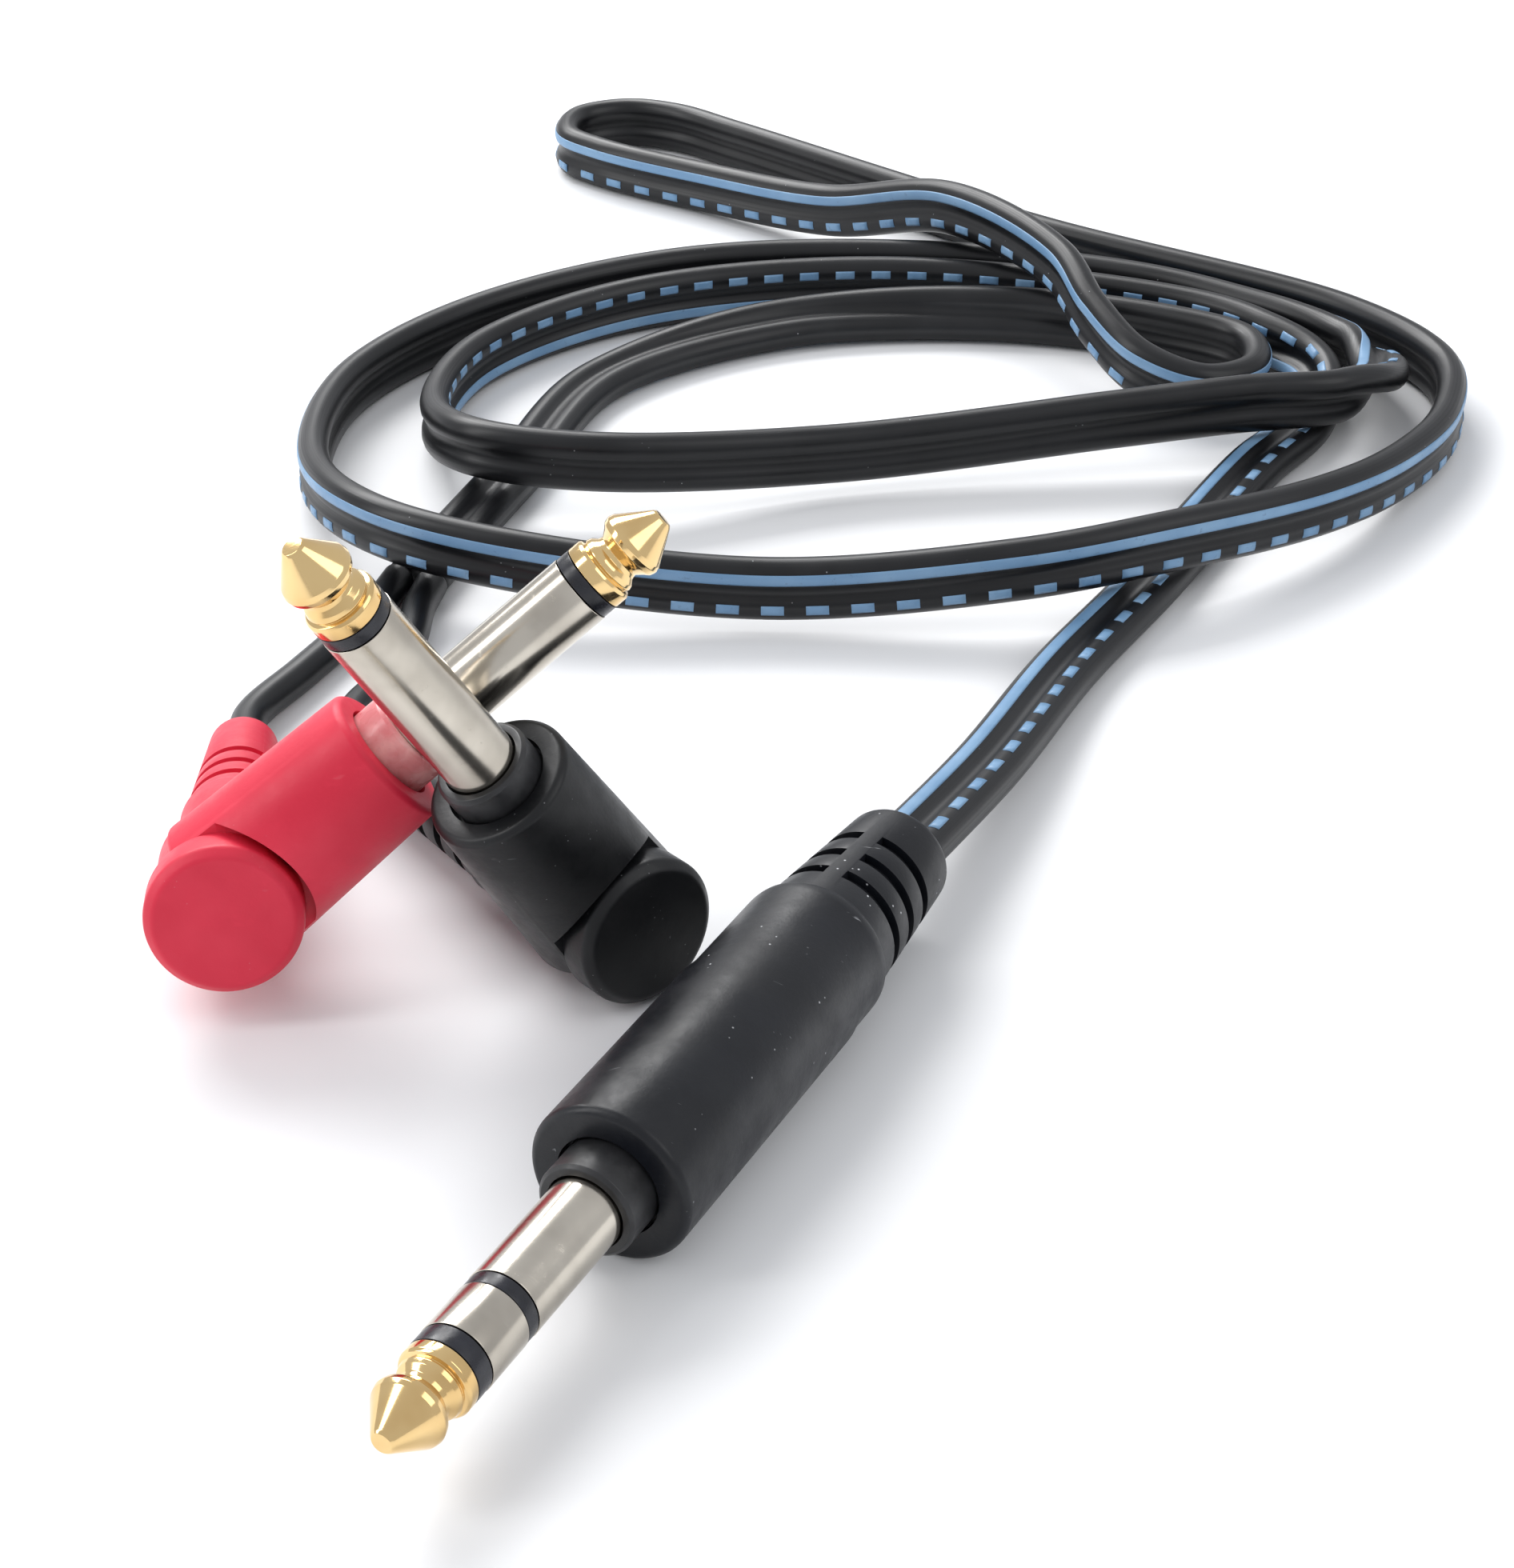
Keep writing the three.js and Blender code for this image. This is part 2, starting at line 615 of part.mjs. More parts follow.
function anglePieces(name, body, mold) {
  const insulatorIn = ANGLE_ROD_R + TUBE_GAP;
  const sleeveIn = ANGLE_INSULATOR_R + TUBE_GAP;
  const rodBack = ANGLE_TIP_LUG_BACK - ROD_PROUD;
  return [
    [`${name}_tip`, turned(tipOutline(ANGLE_ROD_R, rodBack, ANGLE_TIP_START + BAND_GAP), SHAFT_SIDES), gold],
    [`${name}_tip_insulator`, turned(spacerOutline(
      insulatorIn,
      ANGLE_INSULATOR_R,
      LUG_FRONT,
      ANGLE_SLEEVE_END + BAND_GAP,
      ANGLE_TIP_START,
    ), SHAFT_SIDES), insulator],
    [`${name}_sleeve`, turned(sleeveOutline(sleeveIn, ANGLE_SLEEVE_END, FLANGE_R, FLANGE_FRONT), SHAFT_SIDES), nickel],
    [`${name}_sleeve_lug`, lug(sleeveIn, FLANGE_R - 1, FLANGE_R, LUG_BACK, Math.PI / 2), nickel],
    [`${name}_rear_insulator`, turned(
      ringOutline(insulatorIn, WASHER_R, WASHER_BACK, WASHER_FRONT),
      SHAFT_SIDES,
    ), insulator],
    [`${name}_tip_lug`, lug(insulatorIn, FLANGE_R - 1.5, FLANGE_R - 0.4, ANGLE_TIP_LUG_BACK, Math.PI), gold],
    [`${name}_inner_mold`, innerMold(ANGLE_COLLAR, ANGLE_MOLD_DEPTH), mold],
    [`${name}_body`, angleBody(), body],
  ];
}

// ---- stripped lead ends inside the plugs ----------------------------------------------------------------
// In a plug's own frame the shaft points to +Y. The lead comes along the barrel (angled) or the body.
function angleWires(name) {
  const start = ANGLE_CAP_OUT - ANGLE_TOTAL + CLEAR;
  const axis = -ANGLE_DEPTH;
  const coreX = -0.9;
  const shieldX = 1.1;
  const coreEnd = -ANGLE_MOLD_DEPTH - 1.8;
  return [
    [`${name}_core`, wire([
      [coreX, axis, start],
      [coreX, axis, -12],
      [coreX, axis + 0.4, -3.2],
      [coreX - 0.5, axis + 2.6, -1.2],
      [coreX - 1.1, coreEnd, -0.4],
    ], CORE_R), coreWhite],
    [`${name}_conductor`, wire([
      [coreX - 1.2, coreEnd + CLEAR, -0.4],
      [coreX - 1.6, coreEnd + 2.4, -0.2],
      [-3.3, ANGLE_TIP_LUG_BACK - 2, 0],
      [-3.4, ANGLE_TIP_LUG_BACK - CLEAR, 0],
    ], CONDUCTOR_R), copper],
    [`${name}_shield`, wire([
      [shieldX, axis, start],
      [shieldX, axis, -12],
      [shieldX, axis + 0.2, -3],
      [shieldX, axis + 3, -1.6],
      [0.6, -ANGLE_MOLD_DEPTH - CLEAR, -1.9],
      [0, ANGLE_TIP_LUG_BACK - 1.5, -WIRE_REACH],
      [0, LUG_BACK - CLEAR, -WIRE_REACH],
    ], SHIELD_R), copper],
  ];
}

// The twin's two leads: one runs to the tip, the other to the ring, and both shields to the sleeve.
function stereoWires() {
  const start = -STEREO_BODY_LENGTH - STEREO_RELIEF_LENGTH + CLEAR;
  const coreEnd = -STEREO_MOLD_DEPTH - 1.5;
  const ends = [
    ['tip', -1, FLANGE_R - 1.2, STEREO_TIP_LUG_BACK],
    ['ring', 1, FLANGE_R - 0.7, RING_LUG_BACK],
  ];
  return ends.flatMap(([name, side, reach, lugBack]) => [
    [`stereo_${name}_core`, wire([
      [side * 2.2, start, 0],
      [side * 2.2, start / 2, 0],
      [side * 2.4, coreEnd - 4, 0],
      [side * 2.7, coreEnd, 0],
    ], CORE_R), coreWhite],
    [`stereo_${name}_conductor`, wire([
      [side * 2.8, coreEnd + CLEAR, 0],
      [side * (reach - 0.3), (coreEnd + lugBack) / 2, 0],
      [side * reach, lugBack - 1.5, 0],
      [side * reach, lugBack - CLEAR, 0],
    ], CONDUCTOR_R), copper],
    [`stereo_${name}_shield`, wire([
      [side * 0.9, start, 0],
      [side * 0.9, start / 2, 0],
      [side * 0.8, coreEnd + 0.8, -0.6],
      [side * 0.7, -STEREO_MOLD_DEPTH + 4.2, -WIRE_REACH + 0.4],
      [side * 0.65, STEREO_TIP_LUG_BACK - 1.5, -WIRE_REACH],
      [side * 0.65, LUG_BACK - CLEAR, -WIRE_REACH],
    ], SHIELD_R), copper],
  ]);
}

// ---- assembly ---------------------------------------------------------------------------------------------
function poseFor(face, tipward, capward) {
  const y = new THREE.Vector3(...tipward).normalize();
  const x = new THREE.Vector3().crossVectors(y, new THREE.Vector3(...capward)).normalize();
  const z = new THREE.Vector3().crossVectors(x, y);
  return new THREE.Matrix4().makeBasis(x, y, z).setPosition(...face);
}

const group = new THREE.Group();
group.name = 'y_instrument_cable';

function place(pieces, pose) {
  for (const [name, geometry, finish] of pieces) {
    const mesh = new THREE.Mesh(geometry, finish);
    mesh.name = name;
    mesh.applyMatrix4(pose);
    group.add(mesh);
  }
}

place([...stereoPieces(), ...stereoWires()], poseFor(STEREO_FACE, STEREO_TIPWARD, [0, 0, 1]));
place([...anglePieces('black', blackPvc, clearMold), ...angleWires('black')],
  poseFor(BLACK_FACE, BLACK_TIPWARD, BLACK_CAPWARD));
place([...anglePieces('red', redPvc, pinkMold), ...angleWires('red')],
  poseFor(RED_FACE, RED_TIPWARD, RED_CAPWARD));

place([
  ['twin_cable', cord(TWIN_ROUTE, twinShape()), cordPvc],
  ['red_lead', cord(RED_LEAD_ROUTE, roundShape(LEAD_D / 2, LEAD_SIDES)), cordPvc],
  ['black_lead', cord(BLACK_LEAD_ROUTE, roundShape(LEAD_D / 2, LEAD_SIDES)), cordPvc],
], new THREE.Matrix4());

export default group;
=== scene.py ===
"""Y instrument cable: a stereo phone plug, a striped flat twin lead and two right-angle mono plugs.

Metres, +Z up. The cable lies on a pale table top at z = 0.
"""
import bpy
import bmesh
import math
from mathutils import Matrix, Vector


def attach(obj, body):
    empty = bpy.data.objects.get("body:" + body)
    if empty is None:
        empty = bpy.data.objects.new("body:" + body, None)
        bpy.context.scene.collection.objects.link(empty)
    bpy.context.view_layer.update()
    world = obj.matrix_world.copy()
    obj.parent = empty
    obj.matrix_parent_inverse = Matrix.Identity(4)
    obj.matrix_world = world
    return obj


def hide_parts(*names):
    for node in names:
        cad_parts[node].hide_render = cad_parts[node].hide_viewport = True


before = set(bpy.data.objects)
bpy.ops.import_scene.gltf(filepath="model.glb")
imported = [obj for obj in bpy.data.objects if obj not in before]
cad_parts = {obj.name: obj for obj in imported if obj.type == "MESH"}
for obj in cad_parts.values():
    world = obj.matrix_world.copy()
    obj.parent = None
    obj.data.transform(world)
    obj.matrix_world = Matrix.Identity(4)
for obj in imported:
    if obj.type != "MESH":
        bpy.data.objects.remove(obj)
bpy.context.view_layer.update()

MM = 0.001
TAU = 2 * math.pi


# ---- camera ------------------------------------------------------------------------------------
def set_up_camera():
    lens = bpy.data.cameras.new("camera")
    lens.lens = 69.7
    lens.sensor_width = 36
    lens.clip_start = 0.01
    lens.clip_end = 20
    camera = bpy.data.objects.new("camera", lens)
    camera.location = (0.01795, -0.20155, 0.15648)
    camera.rotation_euler = (math.radians(57.831), 0, 0)
    bpy.context.scene.collection.objects.link(camera)
    bpy.context.scene.camera = camera


set_up_camera()


# ---- shader helpers ------------------------------------------------------------------------------
class Value:
    """A socket that takes part in Python arithmetic."""

    def __init__(self, finish, socket):
        self.finish = finish
        self.socket = socket

    def maths(self, operation, *others):
        return self.finish.node("ShaderNodeMath", {"operation": operation}, *others)

    def __add__(self, other):
        return self.maths("ADD", self, other)

    def __radd__(self, other):
        return self.maths("ADD", other, self)

    def __sub__(self, other):
        return self.maths("SUBTRACT", self, other)

    def __rsub__(self, other):
        return self.maths("SUBTRACT", other, self)

    def __mul__(self, other):
        return self.maths("MULTIPLY", self, other)

    def __rmul__(self, other):
        return self.maths("MULTIPLY", other, self)


class Finish:
    """One surface finish: a Principled shader and the nodes that feed it."""

    def __init__(self, name, **settings):
        self.material = bpy.data.materials.new(name)
        self.material.use_nodes = True
        self.tree = self.material.node_tree
        self.shader = self.tree.nodes["Principled BSDF"]
        self.places = {}
        for key, value in settings.items():
            self.shader.inputs[key.replace("_", " ")].default_value = value

    def node(self, kind, settings, *inputs, out=0, **named):
        made = self.tree.nodes.new(kind)
        for key, value in settings.items():
            setattr(made, key, value)
        for socket, value in enumerate(inputs):
            self.feed(made.inputs[socket], value)
        for key, value in named.items():
            self.feed(made.inputs[key.replace("_", " ")], value)
        return Value(self, made.outputs[out])

    def feed(self, socket, value):
        if isinstance(value, Value):
            self.tree.links.new(value.socket, socket)
        elif value is not None:
            socket.default_value = value

    def place(self, name="Object"):
        if name not in self.places:
            self.places[name] = self.node("ShaderNodeTexCoord", {}, out=name)
        return self.places[name]

    def uv(self):
        return self.node("ShaderNodeUVMap", {"uv_map": "along"})

    def noise(self, scale, detail=2.0, roughness=0.5, vector=None):
        return self.node("ShaderNodeTexNoise", {}, Vector=vector or self.place(), Scale=scale,
                         Detail=detail, Roughness=roughness)

    def band(self, value, low, high, to_low=0.0, to_high=1.0):
        return self.node("ShaderNodeMapRange", {"interpolation_type": "SMOOTHSTEP"}, value, low, high,
                         to_low, to_high)

    def mix(self, share, first, second):
        made = self.tree.nodes.new("ShaderNodeMix")
        made.data_type = "RGBA"
        self.feed(made.inputs["Factor"], share)
        for socket, value in ((made.inputs[6], first), (made.inputs[7], second)):
            self.feed(socket, value)
        return Value(self, made.outputs[2])

    def bump(self, height, strength, distance, normal=None):
        return self.node("ShaderNodeBump", {}, Strength=strength, Distance=distance, Height=height,
                         Normal=normal)

    def set(self, **values):
        for key, value in values.items():
            self.feed(self.shader.inputs[key.replace("_", " ")], value)
        return self.material


def soft_vinyl(name, colour, lifted, dust=0.0, gloss=0.42, speckle=1500.0):
    """Satin moulded PVC: fine grain, uneven sheen, dust specks and hairline scuffs."""
    f = Finish(name, Specular_IOR_Level=0.36)
    cloud = f.noise(90, 3)
    grain = f.noise(2600, 2, 0.6)
    smear = f.noise(260, 4, 0.7)
    stretched = f.node("ShaderNodeMapping", {}, f.place(), None, (0.4, 0.9, 0.6), (160, 1500, 500))
    scratch = f.band(f.noise(1.0, 3, 0.6, stretched), 0.70, 0.76)
    specks = f.node("ShaderNodeTexVoronoi", {"feature": "F1"}, Vector=f.place(), Scale=speckle)
    lit = f.band(specks, 0.05, 0.12, 1.0, 0.0) * f.band(f.noise(200, 2), 0.54, 0.62)
    worn = f.band(smear, 0.56, 0.74) * 0.35
    base = f.mix(f.band(cloud, 0.35, 0.7) * 0.7 + worn, (*colour, 1), (*lifted, 1))
    spots = f.mix(lit * dust + scratch * dust * 0.35, base, (0.55, 0.56, 0.58, 1))
    rough = gloss + f.band(smear, 0.3, 0.75) * 0.16 + lit * 0.2
    normal = f.bump(grain, 0.22, 0.00005, f.bump(f.noise(420, 2), 0.25, 0.00012))
    return f.set(Base_Color=spots, Roughness=rough, Normal=normal)


def polished_metal(name, colour, shade, rough, turning=9000.0):
    """Plated metal: fine turning lines across the shaft, faint tarnish and handling marks."""
    f = Finish(name, Metallic=1.0)
    cloud = f.noise(160, 3)
    marks = f.noise(900, 4, 0.75)
    lines = f.noise(turning, 1, 0.4, f.uv())
    base = f.mix(f.band(cloud, 0.35, 0.75), (*colour, 1), (*shade, 1))
    wear = f.band(marks, 0.58, 0.72)
    return f.set(Base_Color=base, Roughness=rough + wear * 0.10 + f.band(cloud, 0.3, 0.8) * 0.04,
                 Normal=f.bump(lines, 0.06, 0.00002))


def bare_plastic(name, colour, rough, depth):
    """Turned nylon or moulded plastic with fine tool marks."""
    f = Finish(name)
    tone = f.band(f.noise(500, 3), 0.35, 0.7)
    dark = tuple(c * depth for c in colour)
    return f.set(Base_Color=f.mix(tone, (*colour, 1), (*dark, 1)),
                 Roughness=rough + f.band(f.noise(1300, 2), 0.35, 0.7) * 0.12,
                 Normal=f.bump(f.noise(2200, 2), 0.2, 0.00004))


def clear_red_mould(name):
    """Pinkish translucent vinyl collar."""
    f = Finish(name, Subsurface_Weight=0.35, Subsurface_Radius=(0.004, 0.0012, 0.0012),
               Subsurface_Scale=1.0)
    tone = f.band(f.noise(420, 3), 0.35, 0.7)
    return f.set(Base_Color=f.mix(tone, (0.62, 0.17, 0.18, 1), (0.78, 0.33, 0.32, 1)),
                 Roughness=0.24 + f.band(f.noise(700, 2), 0.35, 0.7) * 0.12,
                 Normal=f.bump(f.noise(1800, 2), 0.2, 0.00005))


def braided_copper(name):
    """Bright tinned copper strands twisted round the wire."""
    f = Finish(name, Metallic=1.0)
    wave = f.node("ShaderNodeTexWave", {"wave_type": "BANDS", "bands_direction": "DIAGONAL"},
                  f.place(), 1400.0, 1.5, 2.0)
    return f.set(Base_Color=f.mix(wave, (0.50, 0.22, 0.11, 1), (0.85, 0.48, 0.28, 1)),
                 Roughness=0.28 + f.noise(700) * 0.15, Normal=f.bump(wave, 0.6, 0.0001))


black_vinyl = soft_vinyl("black satin vinyl", (0.0030, 0.0036, 0.0058), (0.0066, 0.0078, 0.0118), 1.0, 0.33,
                         950.0)
black_plain_vinyl = soft_vinyl("black vinyl", (0.0034, 0.0037, 0.0046), (0.0066, 0.0070, 0.0084), 0.25, 0.34)
red_vinyl = soft_vinyl("red satin vinyl", (0.62, 0.016, 0.046), (0.74, 0.034, 0.072), 0.12, 0.40)
gold_plate = polished_metal("gold plate", (0.86, 0.62, 0.30), (0.70, 0.46, 0.19), 0.11)
nickel_plate = polished_metal("nickel plate", (0.62, 0.575, 0.50), (0.47, 0.43, 0.37), 0.17)
black_band = bare_plastic("black insulator", (0.012, 0.013, 0.020), 0.25, 0.6)
dark_collar = bare_plastic("dark moulding", (0.020, 0.020, 0.022), 0.35, 0.55)
pink_collar = clear_red_mould("pink moulding")
white_sheath = bare_plastic("white core sheath", (0.72, 0.71, 0.68), 0.35, 0.85)
bare_copper = braided_copper("bare copper")

# ---- the twin lead and its two tails -------------------------------------------------------------
LEAD_D = 3.5
TWIN_WIDTH = 7.0
ROUTE_STEPS = 26
# Where the flat twin lies, in millimetres, and the turn of its wide side in degrees.
TWIN_ROUTE = [
    (30.62, 24.17, 7.0, 0), (39.95, 43.95, 4.3, 0), (49.35, 65.95, 2.1, 0),
    (59.55, 83.95, 1.8, 0), (74.95, 112.45, 1.85, 0), (81.95, 122.65, 2.1, -5),
    (85.25, 134.35, 3.2, -45), (79.85, 145.45, 3.7, -90), (69.55, 153.35, 3.6, -90),
    (34.95, 162.25, 3.6, -90), (3.45, 155.85, 3.6, -90), (-15.25, 139.45, 3.6, -90),
    (-19.45, 120.45, 4.6, -90), (-13.65, 106.05, 7.6, -90), (-0.05, 102.85, 7.3, -90),
    (26.95, 109.25, 5.2, -90), (59.65, 115.05, 6.8, -90), (74.15, 117.35, 7.6, -90),
    (85.25, 119.85, 7.4, -80), (91.85, 129.65, 5.8, -10), (90.35, 141.45, 4.2, 60),
    (80.95, 150.95, 3.6, 90), (66.95, 160.25, 3.6, 90), (40.95, 167.45, 3.6, 90),
    (9.95, 165.85, 3.6, 90), (-15.55, 151.45, 3.6, 90), (-30.05, 131.45, 3.6, 90),
    (-31.65, 105.45, 4.9, 90), (-23.05, 87.45, 7.6, 90), (-9.05, 80.25, 7.2, 90),
    (18.95, 77.65, 5.0, 90), (44.95, 78.05, 7.0, 90), (60.95, 82.85, 7.7, 90),
    (78.95, 94.45, 6.0, 90), (90.15, 106.45, 4.4, 90), (97.95, 119.85, 3.6, 90),
    (100.25, 134.45, 3.6, 90), (91.95, 149.45, 3.6, 90), (55.35, 176.25, 3.6, 90),
    (15.15, 212.05, 3.6, 90), (6.25, 219.35, 3.65, 90), (-0.95, 221.35, 3.65, 90),
    (-7.55, 218.05, 3.65, 90), (-8.65, 210.75, 3.65, 90), (-3.75, 205.05, 3.65, 90),
    (10.65, 195.35, 3.8, 90), (27.65, 182.15, 5.6, 90), (42.65, 168.55, 11.3, 90),
    (55.15, 149.65, 11.2, 90), (58.65, 139.15, 8.6, 90), (63.65, 130.75, 5.9, 90),
    (70.65, 127.95, 4.2, 90), (77.15, 132.35, 3.6, 92), (77.55, 140.35, 3.6, 94),
    (70.65, 145.75, 3.6, 98), (47.95, 152.85, 3.4, 125), (20.95, 151.05, 2.8, 155),
    (-0.55, 136.45, 1.95, 178), (-9.65, 111.45, 1.8, 180), (-18.55, 85.45, 1.8, 180),
]
RED_LEAD_ROUTE = [
    (-20.5, 85.8, 1.8), (-22.05, 80.05, 1.8), (-24.65, 73.45, 1.8),
    (-28.25, 65.45, 1.85), (-32.0, 56.3, 2.3), (-31.65, 49.26, 3.15),
]
BLACK_LEAD_ROUTE = [
    (-16.85, 84.35, 1.8), (-17.65, 79.45, 1.8), (-17.95, 72.45, 1.8),
    (-19.55, 63.95, 1.9), (-21.75, 55.45, 3.0), (-20.4, 48.1, 4.2),
    (-16.82, 43.68, 4.58),
]


def route_frames(rows, steps):
    """Points along a smooth route, each with its tangent, wide direction and thin direction."""
    points = [Vector(row[:3]) for row in rows]
    turns = [row[3] if len(row) > 3 else 0.0 for row in rows]
    last = len(points) - 1
    places, angles = [], []
    for i in range(last):
        p1, p2 = points[i], points[i + 1]
        p0 = points[i - 1] if i > 0 else 2 * p1 - p2
        p3 = points[i + 2] if i + 2 <= last else 2 * p2 - p1
        gaps = [max((b - a).length ** 0.5, 1e-4) for a, b in ((p0, p1), (p1, p2), (p2, p3))]
        t1 = ((p1 - p0) / gaps[0] - (p2 - p0) / (gaps[0] + gaps[1]) + (p2 - p1) / gaps[1]) * gaps[1]
        t2 = ((p2 - p1) / gaps[1] - (p3 - p1) / (gaps[1] + gaps[2]) + (p3 - p2) / gaps[2]) * gaps[1]
        for k in range(steps + (i == last - 1)):
            t = k / steps
            a = 2 * p1 - 2 * p2 + t1 + t2
            b = -3 * p1 + 3 * p2 - 2 * t1 - t2
            places.append(((a * t + b) * t + t1) * t + p1)
            share = t * t * (3 - 2 * t)
            angles.append(math.radians(turns[i] + (turns[i + 1] - turns[i]) * share))
    frames = []
    for i, place in enumerate(places):
        before, after = places[max(i - 1, 0)], places[min(i + 1, len(places) - 1)]
        tangent = (after - before).normalized()
        side = Vector((0, 0, 1)).cross(tangent).normalized()
        rise = tangent.cross(side)
        wide = side * math.cos(angles[i]) + rise * math.sin(angles[i])
        frames.append((place * MM, tangent, wide, tangent.cross(wide)))
    return frames


def mesh_object(name, vertices, faces, materials, slots=None, uv=None, smooth=True):
    mesh = bpy.data.meshes.new(name)
    mesh.from_pydata(vertices, [], faces)
    for material in materials:
        mesh.materials.append(material)
    if slots:
        mesh.polygons.foreach_set("material_index", slots)
    if uv:
        layer = mesh.uv_layers.new(name="along")
        for loop in mesh.loops:
            layer.data[loop.index].uv = uv[loop.vertex_index]
    mesh.polygons.foreach_set("use_smooth", [smooth] * len(mesh.polygons))
    mesh.update()
    made = bpy.data.objects.new(name, mesh)
    bpy.context.scene.collection.objects.link(made)
    return made


def swept(name, frames, section, material):
    """A closed tube with the given cross-section of (wide, thin) points, in millimetres."""
    count = len(section)
    along = 0.0
    vertices, uv = [], []
    lengths = [0.0]
    for (a, *_), (b, *_) in zip(frames, frames[1:]):
        along += (b - a).length
        lengths.append(along)
    for (place, _, wide, thin), reach in zip(frames, lengths):
        for i, (x, y) in enumerate(section):
            vertices.append(place + wide * (x * MM) + thin * (y * MM))
            uv.append((reach, i / count))
    faces = []
    for ring in range(len(frames) - 1):
        for i in range(count):
            j = (i + 1) % count
            faces.append((ring * count + i, ring * count + j, (ring + 1) * count + j, (ring + 1) * count + i))
    faces.append(tuple(reversed(range(count))))
    faces.append(tuple((len(frames) - 1) * count + i for i in range(count)))
    return mesh_object(name, vertices, faces, [material], uv=uv)


def figure_of_eight(steps=15):
    """Two round leads joined by a thin web, so a groove runs down both faces."""
    half, centre = LEAD_D / 2, (TWIN_WIDTH - LEAD_D) / 2
    reach = math.radians(141)
    section = []
    for way, start in ((1, 0.0), (-1, math.pi)):
        for i in range(steps + 1):
            angle = start - reach + 2 * reach * i / steps
            section.append((way * centre + math.cos(angle) * half, math.sin(angle) * half))
    return section


def path_of(frames, every=6):
    picked = [tuple(place) for place, *_ in frames[::every]]
    end = tuple(frames[-1][0])
    return picked if picked[-1] == end else picked + [end]


def length_of(frames):
    return sum((b[0] - a[0]).length for a, b in zip(frames, frames[1:]))


def cable_vinyl(name):
    """Extruded cable jacket: glossier than the moulded bodies, with faint draw lines along it."""
    f = Finish(name, Specular_IOR_Level=0.4)
    drawn = f.node("ShaderNodeMapping", {}, f.uv(), None, None, (14, 90, 1))
    line = f.noise(1.0, 3, 0.6, drawn)
    cloud = f.noise(120, 3)
    specks = f.node("ShaderNodeTexVoronoi", {"feature": "F1"}, Vector=f.place(), Scale=900.0)
    lit = f.band(specks, 0.04, 0.09, 1.0, 0.0) * f.band(f.noise(200, 2), 0.58, 0.66)
    base = f.mix(f.band(cloud, 0.35, 0.7), (0.0038, 0.0041, 0.0052, 1), (0.0076, 0.0080, 0.0096, 1))
    return f.set(Base_Color=f.mix(lit * 0.6, base, (0.4, 0.41, 0.42, 1)),
                 Roughness=0.30 + f.band(line, 0.3, 0.7) * 0.12 + f.band(cloud, 0.3, 0.8) * 0.06,
                 Normal=f.bump(line, 0.12, 0.00008))


def stripe_ink(name):
    """Printed light blue ink, thin in places so the jacket shows through."""
    f = Finish(name, Specular_IOR_Level=0.45)
    thin = f.band(f.noise(1400, 4, 0.7), 0.60, 0.74) * 0.35
    tone = f.band(f.noise(150, 2), 0.35, 0.7)
    ink = f.mix(tone, (0.14, 0.27, 0.44, 1), (0.19, 0.33, 0.50, 1))
    return f.set(Base_Color=f.mix(thin, ink, (0.03, 0.045, 0.07, 1)),
                 Roughness=0.36 + f.band(f.noise(600, 2), 0.35, 0.7) * 0.12,
                 Normal=f.bump(f.noise(900, 3), 0.15, 0.00004))


jacket = cable_vinyl("cable jacket")
blue_ink = stripe_ink("light blue stripe ink")

STRIPE_WIDTH = 1.25
STRIPE_THICK = 0.05  # how far the ink stands proud of the lead
STRIPE_SUNK = 0.15  # how far the ink's underside sits below the surface
DASH_LENGTH = 2.4
DASH_GAP = 2.3
DASH_WIDTH = 1.05


def ribbon(name, frames, offset, width):
    """The solid printed stripe: a thin strip that hugs the top of one lead."""
    half, count = LEAD_D / 2, 7
    spread = width / 2 / half
    section = []
    for radius, way in ((half + STRIPE_THICK, 1), (half - STRIPE_SUNK, -1)):
        for i in range(count):
            angle = math.pi / 2 - way * spread * (2 * i / (count - 1) - 1)
            section.append((offset + math.cos(angle) * radius, math.sin(angle) * radius))
    return swept(name, frames, list(reversed(section)), blue_ink)


